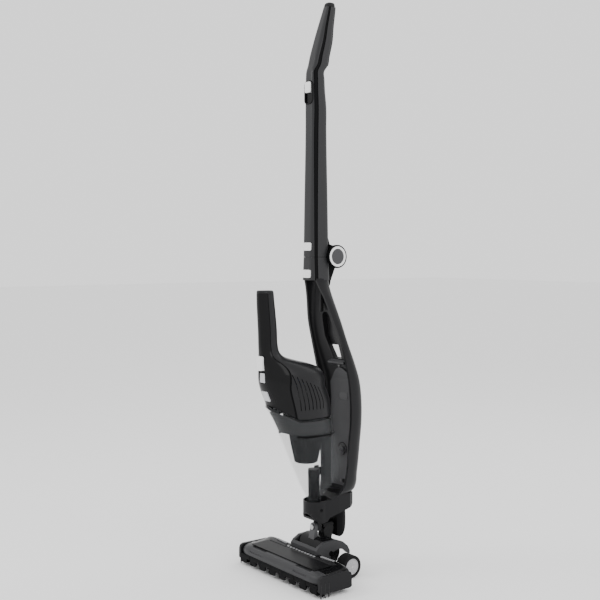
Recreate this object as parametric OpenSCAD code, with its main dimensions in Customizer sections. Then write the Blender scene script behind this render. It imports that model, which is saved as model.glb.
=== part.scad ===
// Cordless stick vacuum: a floor head, a folding stick frame and a lift-out hand unit.
// Built upright with +Z up and the brush side facing -Y. Units are millimetres.

/* [Stick] */
// Where the tube axis stands behind the middle of the whole object
stick_y = 22.85; // [0:0.1:60]
// Full height of the standing object
full_height = 1100; // [1080:1:1120]
// Height of the seam where the handle folds
fold_z = 605; // [603:0.5:608]
// Wall thickness of the stick tube
tube_wall = 2.4; // [1.6:0.1:3]
// Radius of the round fold knob
knob_r = 22.5; // [20:0.5:24]

/* [Floor head] */
// Half width of the floor head over its end caps
head_half = 130; // [124:1:140]
// Radius of the tufted brush
brush_r = 18.5; // [16:0.1:19]
// Radius of each rear wheel
wheel_r = 21; // [19:0.2:22]

/* [Hand unit] */
// Wall thickness of the clear dust bin
bin_wall = 2.4; // [1.5:0.1:3]
// Wall thickness of the hand unit housing
shell_wall = 2.4; // [1.6:0.1:3]
// Radius of one battery cell
cell_r = 9.1; // [8:0.1:9.2]

/* [Hidden] */
$fn = 48;
steps = 40;
tilt_y = 5;
tilt_z = 42;
swivel_z = 86;
pivot_y = -5;
pivot_z = 122;
hinge_y = 33.4;
hinge_z = fold_z + 1;
brush_y = -64;
brush_z = 20;
roller_z = 6.7;
motor_y = -34;
motor_z = 27;
wheel_y = 29;
jack_z = 262;
tube_n = 4.5;
frame_n = 3.2;
body_n = 2.3;

// ---- helpers ----

// signed power used to square up an ellipse
function pow_s(v, p) = sign(v) * pow(abs(v), p);

// lift of the parting edge towards the front of a ring
function rise_at(s, a) = s[4] == undef ? 0 : s[4] * max(0, (-cos(a) - 0.5) / 0.5);

// point of ring s = [centre y, z, half x, half y, front rise] at angle a from the rear
function ring_at(s, a, cut, n) = [
  (s[2] - cut) * pow_s(sin(a), 2 / n),
  s[0] + (s[3] - cut) * pow_s(cos(a), 2 / n) - 0.66 * rise_at(s, a),
  s[1] + rise_at(s, a)
];

// one sheet of points: every ring of the list, from its first to its last angle
function sheet(secs, ang, cut, n, k) = [
  for (i = [0:len(secs) - 1], j = [0:k])
    ring_at(secs[i], ang[i][0] + (ang[i][1] - ang[i][0]) * j / k, cut, n)
];

// a wall between two sheets of points, each m + 1 rings of k + 1 points
module wall(outside, inside, m, k) {
  w = k + 1;
  off = (m + 1) * w;
  pts = concat(outside, inside);
  faces = [
    for (i = [0:m - 1], j = [0:k - 1]) each [
      [i * w + j, (i + 1) * w + j + 1, i * w + j + 1],
      [i * w + j, (i + 1) * w + j, (i + 1) * w + j + 1],
      [off + i * w + j, off + i * w + j + 1, off + (i + 1) * w + j + 1],
      [off + i * w + j, off + (i + 1) * w + j + 1, off + (i + 1) * w + j]
    ],
    for (j = [0:k - 1]) each [
      [j, j + 1, off + j + 1],
      [j, off + j + 1, off + j],
      [m * w + j, off + m * w + j + 1, m * w + j + 1],
      [m * w + j, off + m * w + j, off + m * w + j + 1]
    ],
    for (i = [0:m - 1]) each [
      [i * w, off + i * w, off + (i + 1) * w],
      [i * w, off + (i + 1) * w, (i + 1) * w],
      [i * w + k, off + (i + 1) * w + k, off + i * w + k],
      [i * w + k, (i + 1) * w + k, off + (i + 1) * w + k]
    ]
  ];
  polyhedron(points = pts, faces = faces, convexity = 8);
}

// a wall lofted through rings, between two angles that may change from ring to ring
module band(outer, inner, ang, cut, n, k) {
  wall(sheet(outer, ang, 0, n, k), sheet(inner, ang, cut, n, k), len(outer) - 1, k);
}

// a closed tube wall lofted through rings
module tube_band(outer, cut, n, k) {
  m = len(outer) - 1;
  off = (m + 1) * k;
  ang = [for (s = outer) [0, 360 - 360 / k]];
  pts = concat(sheet(outer, ang, 0, n, k - 1), sheet(outer, ang, cut, n, k - 1));
  faces = [
    for (i = [0:m - 1], j = [0:k - 1]) each [
      [i * k + j, (i + 1) * k + (j + 1) % k, i * k + (j + 1) % k],
      [i * k + j, (i + 1) * k + j, (i + 1) * k + (j + 1) % k],
      [off + i * k + j, off + i * k + (j + 1) % k, off + (i + 1) * k + (j + 1) % k],
      [off + i * k + j, off + (i + 1) * k + (j + 1) % k, off + (i + 1) * k + j]
    ],
    for (j = [0:k - 1]) each [
      [j, (j + 1) % k, off + (j + 1) % k],
      [j, off + (j + 1) % k, off + j],
      [m * k + j, off + m * k + (j + 1) % k, m * k + (j + 1) % k],
      [m * k + j, off + m * k + j, off + m * k + (j + 1) % k]
    ]
  ];
  polyhedron(points = pts, faces = faces, convexity = 8);
}

// a solid lofted through rings
module solid_loft(secs, n, k) {
  m = len(secs) - 1;
  ang = [for (s = secs) [0, 360 - 360 / k]];
  pts = sheet(secs, ang, 0, n, k - 1);
  faces = [
    [for (j = [0:k - 1]) j],
    [for (j = [0:k - 1]) m * k + k - 1 - j],
    for (i = [0:m - 1], j = [0:k - 1]) each [
      [i * k + j, (i + 1) * k + (j + 1) % k, i * k + (j + 1) % k],
      [i * k + j, (i + 1) * k + j, (i + 1) * k + (j + 1) % k]
    ]
  ];
  polyhedron(points = pts, faces = faces, convexity = 6);
}

// a side profile given as [y, z] points, spread across X
module across(x0, x1) {
  translate([x0, 0, 0]) rotate([90, 0, 90]) linear_extrude(height = x1 - x0) children();
}

// a cylinder lying along X
module xrod(x0, x1, y, z, r) {
  translate([x0, y, z]) rotate([0, 90, 0]) cylinder(h = x1 - x0, r = r);
}

// a cylinder lying along Y
module yrod(y0, y1, x, z, r) {
  translate([x, y0, z]) rotate([-90, 0, 0]) cylinder(h = y1 - y0, r = r);
}

// a box given by its two corners
module block(a, b) {
  translate(a) cube([b[0] - a[0], b[1] - a[1], b[2] - a[2]]);
}

// a plate facing Y with rounded corners, centred at height z
module pad(hx, hz, r, y0, y1, z) {
  translate([0, y1, z]) rotate([90, 0, 0]) linear_extrude(height = y1 - y0) union() {
    square([2 * hx, 2 * (hz - r)], center = true);
    square([2 * (hx - r), 2 * hz], center = true);
    for (a = [-1, 1], b = [-1, 1]) translate([a * (hx - r), b * (hz - r)]) circle(r = r);
  }
}

// everything is drawn around the tube axis and moved to the middle here
module place() {
  translate([0, stick_y, 0]) children();
}

// ---- ring lists: [centre y, z, half x, half y, front rise] ----

tube_secs = [
  [0, fold_z + 0.3, 17.5, 21.5],
  [0, 700, 16.6, 20.2],
  [0, 850, 15, 18],
  [0, 893, 15, 18],
  [-1.5, 924, 14.6, 16.4],
  [-1.9, 947, 14.4, 15.5],
  [-1.7, 962, 14.2, 14.6],
  [4.4, 974, 14.2, 17],
  [8.6, 992, 14, 16.8],
  [16.9, 1022, 13.5, 16],
  [23.6, 1052, 11.5, 13.3],
  [31.3, 1083, 9.5, 10.6],
  [33, full_height - 9, 8.9, 9.9]
];
body_secs = [
  [-34.6, 302.6, 43.4, 61, 25],
  [-44, 332, 44.5, 66.5],
  [-56, 362, 44, 67.2],
  [-58, 377, 43.4, 68.6],
  [-61.3, 388, 41.5, 66],
  [-66.5, 396, 38, 61.5],
  [-78, 404, 33.5, 51],
  [-92, 411, 28.5, 37.4],
  [-104, 418, 22, 25.8],
  [-109.6, 426, 17.4, 20.6],
  [-112.5, 440, 14.8, 19],
  [-114, 470, 14, 18.7],
  [-116.4, 500, 13.4, 18.2],
  [-118.4, 524, 13, 17.4],
  [-119.2, 538, 12.6, 16.9]
];
body_split = [122, 119, 115, 112, 110, 109, 107, 105, 103, 100, 97, 95, 94, 94, 94];
bin_secs = [
  [pivot_y, 119, 13.4, 13.4],
  [pivot_y, 136, 13.4, 13.4],
  [pivot_y, 148, 17, 17.5],
  [0, 165, 27.5, 31],
  [3.4, 178, 34, 39.5],
  [2, 193, 38.5, 45],
  [-3, 211, 40, 49],
  [-10.5, 231, 41, 50.6],
  [-20, 259, 42, 54.5],
  [-29, 287, 43, 58.7, 10],
  [-34.6, 301.4, 43.4, 61, 25]
];
frame_secs = [
  [32, 148, 31, 44],
  [38, 156, 36, 43],
  [44, 188, 42, 38.6],
  [46, 246, 46.5, 41.2],
  [49, 285, 48, 41.4],
  [49, 326, 48, 41.4],
  [44, 365, 49.5, 40],
  [36, 400, 49.5, 34.5],
  [25, 442, 48, 26.5],
  [11, 483, 41, 29.5],
  [-1, 527, 29.5, 29],
  [-12, 556, 20.4, 35.9],
  [-15, 564, 19.6, 39.2]
];
tray_secs = [
  [32, 148, 28.5, 30.5],
  [38, 156, 31, 26],
  [44, 188, 37, 21],
  [46, 246, 41.5, 23],
  [49, 285, 43, 21],
  [49, 326, 43, 21],
  [44, 365, 44.2, 24],
  [36, 400, 44, 20],
  [25, 442, 42.5, 15],
  [11, 483, 35.5, 15],
  [-1, 527, 24.5, 17],
  [-12, 556, 15.8, 22],
  [-15, 564, 15, 24]
];
panel_secs = [for (i = [1:6]) tray_secs[i], [39.4, 385, 44.1, 21.7]];
seam_a = 52;
// middle and half width, along Y, of the dark strip in each side of the tube
strip_mid = [-12.5, -12, -10.2, -9.5, -8.8, -8.5, -8.2, -7.5, -7, -6.5, -6, -5.3, -5.2];
strip_half = [3.5, 3.8, 4.5, 4.5, 4.4, 4.3, 4.1, 4, 3.7, 3.2, 2.7, 2.2, 2.1];

// angle from the rear at which ring i of the tube is the distance d from the strip's middle
function strip_a(i, d) = acos(-pow(-(strip_mid[i] + d) / tube_secs[i][3], tube_n / 2));

// ---- floor head ----

module head_profile() {
  polygon([
    [-92, 22.5], [-92.6, 35], [-88, 39], [-81, 41], [-41, 42.6], [-26, 46],
    [-20, 42], [-19, 10], [-41, 10], [-41, 14], [-87, 14], [-91, 14], [-91, 22.5]
  ]);
}

module sole_plate() color("dimgray") place() difference() {
  union() {
    block([-head_half + 6.2, -41, 5], [head_half - 6.2, -19, 9.8]);
    block([-head_half + 6.2, -91, 5], [-head_half + 14, -41, 9.8]);
    block([head_half - 14, -91, 5], [head_half - 6.2, -41, 9.8]);
    block([-46, -19, 5], [46, 36, 9.8]);
  }
  for (x = [-112, -60, 60, 112]) translate([x, -28, 4]) cylinder(h = 7, r = 1.7);
  block([-24, -30, 4], [24, -18, 11]);
  for (s = [-1, 1]) {
    block([s * 119.3 - 2.2, -85.4, 4], [s * 119.3 + 2.2, -70.6, 11]);
    xrod(s * 119.5 - 5, s * 119.5 + 4.2, -78, roller_z, 1.56);
  }
}

module head_shell() color("dimgray") place() difference() {
  across(-head_half + 6.2, head_half - 6.2) head_profile();
  difference() {
    across(-head_half + 9, head_half - 9) polygon([
      [-86, 9], [-89.8, 24], [-90, 33.5], [-80.5, 38.6], [-26.5, 42.8], [-22, 40],
      [-22, 9]
    ]);
    block([-head_half, -40.6, 38.7], [head_half, -37.6, 50]);
  }
  across(-head_half + 3, head_half - 3) polygon([
    [-90.4, 9], [-90.4, 22.7], [-95, 22.7], [-95, 9]
  ]);
  across(-101, 101) polygon([[-80.6, 40.6], [-80.6, 50], [-41.6, 50], [-41.6, 40.6]]);
  block([-42, -31, 0], [42, 0, 60]);
  xrod(-122.6, 122.6, brush_y, brush_z, 3.1);
  rib_marks(0.1);
}

module front_bumper() color("black") place() difference() {
  union() {
    across(-head_half + 6.4, head_half - 6.4) polygon([
      [-93, 14.5], [-93.4, 18], [-93, 22.3], [-90.6, 22.3], [-90.6, 14.5]
    ]);
    for (x = [-112:32:112]) translate([x, 0, 0]) pad(10.6, 5.2, 4, -92.9, -91.3, 10.8);
  }
  for (x = [-90:36:90]) block([x - 1, -94, 13], [x + 1, -92.8, 24]);
}

module brush_window() color("black") place() across(-100.6, 100.6) polygon([
  [-80.2, 40.8], [-80.2, 42.2], [-42, 43.6], [-42, 40.8]
]);

module cap_side() {
  difference() {
    across(head_half - 6, head_half) polygon([
      [-88, 8], [-92, 12], [-92, 31], [-89.5, 36.2], [-84, 38.5], [-26, 38.5],
      [-20, 35], [-18, 30], [-18, 10], [-21, 8]
    ]);
    for (y = [-88, -79, -70]) translate([head_half - 1.2, y, 6]) cylinder(h = 20, r = 1.4);
  }
}

module end_caps() color("dimgray") place() {
  cap_side();
  mirror([1, 0, 0]) cap_side();
}

module edge_bristles() color("black") place() for (s = [-1, 1], y = [-88, -79, -70])
  translate([s * (head_half - 1.2), y, 0.4]) cylinder(h = 25.2, r = 1.2);

// the light marks set into the top of the head, grown by g for their pockets
module rib_marks(g) {
  for (x = [-40.5:9:40.5]) block([x - 2.6 - g, -37.4 - g, 42.9 - g], [x + 2.6 + g, -34.4 + g, 45]);
  for (s = [-1, 1]) for (i = [0:6]) translate([s * (56 + 5.4 * i), -29.5 + 0.4 * i, 45.8 - g / 2])
    cube([3.2 + 2 * g, 4 + 2 * g, 2 + g], center = true);
}

module rib_strips() color("gray") place() rib_marks(0);

module saddle_cover() color("dimgray") place() difference() {
  union() {
    for (s = [-1, 1]) across(s * 37 - 3.6, s * 37 + 3.6) polygon([
      [-30.6, 10], [-30.6, 52], [-25, 58], [-12, 65], [18, 66], [34, 60],
      [46, 50], [51, 40], [51, 34], [46, 36], [36, 45], [24, 48], [10, 44],
      [2, 32], [0, 10]
    ]);
    across(-36, 36) polygon([[-30.6, 10], [-30.6, 52], [-26.6, 56.3], [-25.4, 56.3], [-25.4, 10]]);
    across(-36, 36) polygon([[-26, 10], [-26, 12.4], [32, 12.4], [32, 10]]);
  }
  xrod(-50, 50, tilt_y, tilt_z, 5.05);
}

module brush_motor() color("silver") place() difference() {
  union() {
    xrod(48, 92, motor_y, motor_z, 11.2);
    xrod(92, 108, motor_y, motor_z, 2);
    block([64, motor_y - 2, 10.2], [88, motor_y + 9, 20]);
  }
  for (x = [58, 70, 82]) xrod(x, x + 2, motor_y, motor_z + 20, 9.6);
}

module drive_belt() color("black") place() translate([108, 0, 0]) rotate([90, 0, 90])
  linear_extrude(height = 6) difference() {
    union() {
      translate([motor_y, motor_z]) circle(r = 7.4);
      translate([brush_y, brush_z]) circle(r = 12.4);
      polygon([
        [motor_y + 2.83, motor_z - 6.84], [motor_y - 0.49, motor_z + 7.38],
        [brush_y - 0.82, brush_z + 12.37], [brush_y + 4.74, brush_z - 11.46]
      ]);
    }
    translate([motor_y, motor_z]) circle(r = 6);
    translate([brush_y, brush_z]) circle(r = 11);
    polygon([
      [motor_y + 2.29, motor_z - 5.54], [motor_y - 0.4, motor_z + 5.99],
      [brush_y - 0.73, brush_z + 10.98], [brush_y + 4.21, brush_z - 10.17]
    ]);
  }

module brush_bearings() color("silver") place() for (s = [-1, 1]) difference() {
  union() {
    xrod(s * 118.8 - 2, s * 118.8 + 2, brush_y, brush_z, 8);
    block([s * 118.8 - 2, brush_y - 3, 9.9], [s * 118.8 + 2, brush_y + 3, 16]);
    block([s * 118.8 - 2, brush_y - 5, 24], [s * 118.8 + 2, brush_y + 5, 38.6]);
  }
  xrod(s * 119 - 3, s * 119 + 3, brush_y, brush_z, 3.05);
}

module axles() color("silver") place() for (s = [-1, 1]) {
  xrod(s * 60 - 15.5, s * 60 + 15.5, wheel_y, wheel_r, 2.5);
  block([s * 46 - 2.4, wheel_y - 9, 9.9], [s * 46 + 2.4, wheel_y + 9, wheel_r + 6]);
  xrod(s * 119.6 - 3.4, s * 119.6 + 3.4, -78, roller_z, 1.5);
}

module sole_screws() color("silver") place() for (x = [-112, -60, 60, 112])
  translate([x, -28, 4.2]) {
    cylinder(h = 0.7, r = 3);
    cylinder(h = 11.2, r = 1.6);
  }

module brush_core() color("dimgray") place() difference() {
  union() {
    xrod(-114, 106.5, brush_y, brush_z, 12);
    xrod(106.5, 115.6, brush_y, brush_z, 10.9);
    xrod(-122, 122, brush_y, brush_z, 3);
  }
  xrod(-113, 105, brush_y, brush_z, 4);
}

module brush_bristles() color("black") place() for (i = [0:15], r = [0:2])
  translate([-108 + 14 * i, brush_y, brush_z]) rotate([i * 24 + r * 120 + 20, 0, 0])
    translate([0, 0, 11.6]) cylinder(h = brush_r - 11.6, r = 3);

module motor_pulley() color("silver") place() difference() {
  xrod(108.3, 113.7, motor_y, motor_z, 5.9);
  xrod(100, 108.2, motor_y, motor_z, 2.1);
}

module wheel_tyre(x) {
  difference() {
    xrod(x - 12.5, x + 12.5, wheel_y, wheel_r, wheel_r);
    xrod(x - 14, x + 14, wheel_y, wheel_r, 15.5);
  }
}

module wheel_hub(x) {
  difference() {
    union() {
      xrod(x - 12, x + 11.4, wheel_y, wheel_r, 15.45);
      xrod(x - 13.4, x - 12, wheel_y, wheel_r, 6);
    }
    xrod(x - 20, x + 13.6, wheel_y, wheel_r, 2.56);
  }
}

module tyre_right() color("black") place() wheel_tyre(63);
module hub_right() color("silver") place() wheel_hub(63);
module tyre_left() color("black") place() mirror([1, 0, 0]) wheel_tyre(63);
module hub_left() color("silver") place() mirror([1, 0, 0]) wheel_hub(63);

module roller() {
  difference() {
    xrod(117.4, 121.2, -78, roller_z, 6.6);
    xrod(110, 130, -78, roller_z, 1.56);
  }
}
module front_roller_right() color("black") place() roller();
module front_roller_left() color("black") place() mirror([1, 0, 0]) roller();

// ---- neck ----

module tilt_drum() color("black") place() difference() {
  union() {
    xrod(-32.6, 32.6, tilt_y, tilt_z, 27.4);
    xrod(-40, 40, tilt_y, tilt_z, 5);
    across(-9, 9) polygon([[13, 60], [13, 80], [16, 86], [34, 86], [36, 80], [30, 56]]);
    yrod(12, 38, 0, swivel_z, 8.5);
  }
  yrod(0, 50, 0, swivel_z, 3.55);
  xrod(-26, 26, tilt_y, tilt_z, 23);
  translate([0, 25, 40]) rotate([-48, 0, 0]) cylinder(h = 60, r = 7.6);
}

module drum_ear() color("gray") place() difference() {
  intersection() {
    across(-8.2, 8.2) polygon([
      [-12, 64], [-8.6, 80], [-7, 95], [-2, 95], [-2, 69.6], [-6, 66.8]
    ]);
    union() {
      yrod(-20, 5, 0, swivel_z, 8.2);
      block([-20, -20, 60], [20, 5, swivel_z]);
    }
  }
  yrod(-20, 5, 0, swivel_z, 3.55);
  xrod(-20, 20, tilt_y, tilt_z, 27.45);
}

module swivel_pin() color("silver") place() union() {
  yrod(-9, 44, 0, swivel_z, 3.5);
  yrod(-10.8, -9, 0, swivel_z, 5);
}

module neck_column() color("black") place() difference() {
  intersection() {
    across(-15, 15) polygon([
      [38.5, 120], [38.6, 104], [40.5, 94], [41, 80], [40, 70], [42, 63],
      [48, 61.5], [56, 65], [63, 74], [66.5, 88], [66.5, 98], [64, 110], [61, 119], [61, 122]
    ]);
    translate([0, 49, 56]) linear_extrude(height = 74) scale([0.71, 1]) circle(r = 21.3);
  }
  yrod(-2, 44.4, 0, swivel_z, 3.5);
  translate([0, 51.6, 70]) cylinder(h = 60, r = 6.6);
}

// ---- stick frame ----

module cup_plan() {
  union() {
    circle(r = 25);
    polygon([
      [24.9, -2], [25, 4], [30, 34], [31, 60], [26, 70], [14, 73], [-14, 73],
      [-26, 70], [-31, 60], [-30, 34], [-25, 4], [-24.9, -2]
    ]);
  }
}

module dock_cup() color("dimgray") place() difference() {
  union() {
    intersection() {
      across(-34, 34) polygon([
        [-26, 118], [-26, 137], [20, 140], [34, 147.6], [74, 147.6], [72, 128],
        [66, 121], [14, 106], [8, 98.4], [-4, 96.6], [-14, 101.5]
      ]);
      linear_extrude(height = 160) cup_plan();
    }
    across(-6.5, 6.5) polygon([[-1.4, 103], [-1.4, 80], [2, 77.5], [6, 77.5], [9, 82], [9, 103]]);
  }
  yrod(-2, 12, 0, swivel_z, 3.5);
  translate([0, 0, 107]) cylinder(h = 50, r = 22.6);
  across(-8, 8) polygon([[10, 104], [50, 121], [57, 113], [30, 80], [16, 80]]);
  translate([0, 51.6, 100]) cylinder(h = 26, r = 6.6);
  xrod(-30, 30, pivot_y, pivot_z, 3.1);
  block([-15.3, 31, 100], [15.3, 62.3, 122.2]);
}

module slot_cut() {
  translate([0, 100, 0]) rotate([90, 0, 0]) linear_extrude(height = 160) union() {
    polygon([
      [-12, 406], [12, 406], [18, 452], [11, 488], [-11, 488], [-18, 452]
    ]);
    translate([0, 488]) circle(r = 11);
  }
}

// outside of the front shell: the side walls up to the seam, then the back of the tray
function front_outside(i, a) = abs(a) > seam_a ? ring_at(frame_secs[i], a, 0, frame_n) : [
  (tray_secs[i][2] + 2.2) * pow_s(sin(a), 2 / frame_n),
  tray_secs[i][0] + (tray_secs[i][3] + 2.4) * pow_s(cos(a), 2 / frame_n),
  tray_secs[i][1]
];

module frame_front_shell() color("dimgray") place() difference() {
  union() {
    wall(
      [for (i = [0:len(frame_secs) - 1], j = [0:32]) front_outside(i, -90 + 180 * j / 32)],
      sheet(tray_secs, [for (s = tray_secs) [-90, 90]], 0, frame_n, 32),
      len(frame_secs) - 1, 32
    );
    difference() {
      tube_band([
        [0, 560.6, 19.2, 23], [0, 575, 18.6, 22.4], [0, fold_z - 0.2, 17.5, 21.5]
      ], 2.4, tube_n, steps);
      block([-30, 2, 550], [30, 40, 620]);
    }
  }
  slot_cut();
  pad(11.9, 7.9, 3.2, -30, -10, 573);
  yrod(50, 80, 0, 225, 9.1);
  for (z = [166, 392]) yrod(40, 80, 0, z, 1.5);
}

module frame_rear_shell() color("dimgray") place() difference() {
  union() {
    band(frame_secs, [for (s = frame_secs) [s[0], s[1], s[2] - 2.4, s[3] - 2.4]],
      [for (s = frame_secs) [-seam_a + 1, seam_a - 1]], 0, frame_n, 20);
    difference() {
      tube_band([
        [0, 558.6, 19.2, 17], [0, 575, 18.6, 21], [0, fold_z - 0.2, 17.5, 21.5]
      ], 2.4, tube_n, steps);
      block([-30, -40, 550], [30, 2.4, 620]);
      block([-30, 16, 584.4], [30, 40, 620]);
      block([-14.8, 13.3, 585.1], [14.8, 40, 620]);
      block([-21, -10, 540], [21, 12.2, 564.4]);
    }
  }
  pad(19, 13, 5, 20, 110, 420);
  yrod(78, 100, 0, jack_z, 6.05);
}

module tray_panel() color("gray") place() difference() {
  band([for (s = panel_secs) [s[0], s[1], s[2] - 0.1, s[3] - 0.1]],
    [for (s = panel_secs) [s[0], s[1], s[2] - 1.3, s[3] - 1.3]],
    [for (s = panel_secs) [-44, 44]], 0, frame_n, 16);
  yrod(40, 80, 0, 166, 1.6);
  yrod(40, 80, 0, 225, 9.2);
}

module charge_contacts() color("gray") place() union() {
  yrod(61, 69.4, 0, 225, 9);
  yrod(58.6, 61, -4, 225, 1.6);
  yrod(58.6, 61, 4, 225, 1.6);
}

module charge_jack() color("black") place() difference() {
  union() {
    yrod(74, 88.2, 0, jack_z, 6);
    yrod(74, 84, 0, jack_z, 7.4);
  }
  yrod(76, 90, 0, jack_z, 2.75);
}

module frame_screws() color("silver") place() {
  yrod(62.4, 70, 0, 166, 1.4);
  yrod(61.2, 62.4, 0, 166, 2.6);
  yrod(57.4, 66, 0, 392, 1.4);
  yrod(56.2, 57.4, 0, 392, 2.6);
}

module hinge_lower() color("black") place() difference() {
  union() {
    xrod(-9, 9, hinge_y, hinge_z, 15);
    across(-9, 9) polygon([[14, 585], [14, fold_z - 0.4], [33, fold_z + 4], [46, 596], [30, 587]]);
    across(-8, 8) polygon([
      [25.7, 547], [28.6, 552], [30, 559], [38.6, 579], [46, 596], [38, 600],
      [23.6, 585.2], [23.6, 566], [24.8, 564], [24.8, 556]
    ]);
    across(-14.5, 14.5) polygon([[13.6, 585.4], [13.6, fold_z - 0.4], [17.6, fold_z - 0.4], [18.4, 585.4]]);
  }
  xrod(-20, 20, hinge_y, hinge_z, 5.05);
}

module dock_button() color("white") place() union() {
  pad(11.6, 7.6, 3, -23.4, -18.2, 573);
  pad(9, 5, 2, -18.3, -14, 573);
}

module port_sleeve() color("black") place() difference() {
  union() {
    translate([0, pivot_y, 113]) cylinder(h = 17, r = 15.7);
    xrod(-24.4, 24.4, pivot_y, pivot_z, 3);
  }
  translate([0, pivot_y, 110]) cylinder(h = 30, r = 14.3);
}

// ---- folding handle ----

module tube_front_shell() color("dimgray") place() difference() {
  band(tube_secs, tube_secs,
    [for (i = [0:12]) [strip_a(i, -strip_half[i] - 0.12), 360 - strip_a(i, -strip_half[i] - 0.12)]],
    tube_wall, tube_n, 24);
  pad(11.9, 7.9, 3.2, -30, -10, 625);
  pad(12.6, 22.7, 9, -40, -8, 920.5);
}

module tube_rear_shell() color("dimgray") place() difference() {
  band(tube_secs, tube_secs,
    [for (i = [0:12]) [-strip_a(i, strip_half[i] + 0.12), strip_a(i, strip_half[i] + 0.12)]],
    tube_wall, tube_n, 24);
  block([-10.4, 12, 600], [10.4, 40, 628.4]);
  block([-19, 18.2, 600], [19, 40, fold_z + 24.4]);
}

module side_inlays() color("black") place() for (m = [0, 1]) mirror([m, 0, 0]) band(
  [for (s = tube_secs) [s[0], s[1], s[2] - 0.7, s[3] - 0.7]],
  [for (s = tube_secs) [s[0], s[1], s[2] - 0.7, s[3] - 0.7]],
  [for (i = [0:12]) [strip_a(i, strip_half[i]), strip_a(i, -strip_half[i])]], tube_wall - 0.9, tube_n, 4);

module grip_pad() color("gray") place() band(
  [for (i = [7:11]) [tube_secs[i][0], tube_secs[i][1], tube_secs[i][2] + 0.8, tube_secs[i][3] + 0.8]],
  [for (i = [7:11]) [tube_secs[i][0], tube_secs[i][1], tube_secs[i][2] + 0.1, tube_secs[i][3] + 0.1]],
  [for (i = [7:11]) [-50, 50]], 0, tube_n, 14);

module grip_end_cap() color("dimgray") place() solid_loft([
  [33, full_height - 8.8, 8.8, 9.8],
  [33.5, full_height - 4, 8.4, 9.3],
  [33.9, full_height - 1.2, 7, 7.8],
  [34, full_height, 4.6, 5.2]
], 3.2, 32);

module switch_well() color("black") place() difference() {
  pad(12.3, 22.4, 8.8, -19.2, -15.2, 920.5);
  pad(9.4, 20.4, 5, -25, -16.2, 920.5);
}

module power_slider() color("white") place() union() {
  pad(9, 10.2, 4, -20.6, -16.4, 930.5);
  pad(7, 7, 2.5, -21.2, -20.5, 930.5);
}

module fold_button() color("white") place() union() {
  pad(11.6, 7.6, 3, -22.2, -18, 625);
  pad(9, 5, 2, -18.1, -14, 625);
}

module hinge_upper() color("black") place() difference() {
  union() {
    for (s = [-1, 1]) xrod(s * 14 - 4.6, s * 14 + 4.6, hinge_y, hinge_z, 15);
    for (s = [-1, 1]) across(s * 14 - 4.6, s * 14 + 4.6) polygon([
      [22, hinge_z + 5], [hinge_y, hinge_z + 2], [46, hinge_z + 8], [34, hinge_z + 20], [19.8, hinge_z + 23]
    ]);
    across(-18.4, 18.4) polygon([
      [19.4, fold_z + 17], [19.4, fold_z + 24], [22, fold_z + 24], [27, fold_z + 19.5], [26, fold_z + 17]
    ]);
    across(-10, 10) polygon([
      [21.9, fold_z + 20], [21.7, fold_z + 38], [24.6, fold_z + 29], [27.5, fold_z + 20.5]
    ]);
  }
  xrod(-30, 30, hinge_y, hinge_z, 5.05);
  xrod(-9.3, 9.3, hinge_y, hinge_z, 15.6);
}

module hinge_pin() color("silver") place() xrod(-18.5, 18.5, hinge_y, hinge_z, 5);

module fold_knobs() color("black") place() for (s = [-1, 1]) difference() {
  xrod(s * 22.4 - 3.6, s * 22.4 + 3.6, hinge_y, hinge_z, knob_r);
  xrod(s * 26 - 1.2, s * 26 + 1.2, hinge_y, hinge_z, 20);
  block([-30, hinge_y - 30, hinge_z - 30], [30, hinge_y - 15.2, hinge_z - 0.4]);
}

module knob_rings() color("white") place() for (s = [-1, 1]) difference() {
  xrod(s * 25.6 - 0.7, s * 25.6 + 0.7, hinge_y, hinge_z, 19.9);
  xrod(s * 25.6 - 2, s * 25.6 + 2, hinge_y, hinge_z, 15.4);
}

// ---- hand unit ----

// the bin release sits square to the sloping front at this place
module at_bin_button() {
  translate([0, -116.6, 347]) rotate([23, 0, 0]) children();
}

module body_front_cover() color("black") place() difference() {
  band(body_secs, body_secs, [for (a = body_split) [a + 0.5, 359.5 - a]], shell_wall, body_n, 26);
  pad(8.9, 25.4, 3.2, -150, -112, 397);
  at_bin_button() pad(9.4, 10.4, 1.6, -10, 8, 0);
}

module vent_slots() {
  for (i = [0:6]) across(-60, 60) polygon([
    [-86 + 9.8 * i, 388 - 4.4 * i], [-84 + 9.8 * i, 388.6 - 4.4 * i],
    [-71 + 9.4 * i, 352 - 2 * i], [-64 + 8.6 * i, 320], [-65.8 + 8.6 * i, 319.6],
    [-73 + 9.4 * i, 352 - 2 * i]
  ]);
}

module body_rear_shell() color("dimgray") place() difference() {
  band(body_secs, body_secs, [for (a = body_split) [-a, a]], shell_wall, body_n, 30);
  vent_slots();
}

module hand_grip_cap() color("dimgray") place() solid_loft([
  [-119.2, 538.2, 12.5, 16.8],
  [-119.5, 541.6, 11.8, 16.2],
  [-120.2, 543.6, 9.2, 13.6]
], body_n, 32);

module hand_switch() color("white") place() union() {
  pad(8.5, 13.4, 3, -132.2, -125.6, 408.6);
  pad(6, 8, 2, -125.7, -121, 408.6);
}

module bin_button() color("white") place() at_bin_button() union() {
  pad(9, 10, 1.4, -1.4, 2.4, 0);
  pad(6, 6, 1.4, 2.3, 6, 0);
}

module battery_cells() color("royalblue") place() for (i = [0:3])
  xrod(-32, 32, -88 + 19.4 * i, 374, cell_r);

module suction_motor() color("silver") place() translate([0, -42, 310]) rotate([12, 0, 0])
  difference() {
    union() {
      translate([0, 0, 12]) cylinder(h = 34, r = 22);
      cylinder(h = 12, r = 30);
    }
    translate([0, 0, 1.6]) cylinder(h = 8.8, r = 27);
    translate([0, 0, -1]) cylinder(h = 4, r = 8);
    translate([0, 0, 8]) cylinder(h = 6, r = 3.05);
  }

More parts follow.
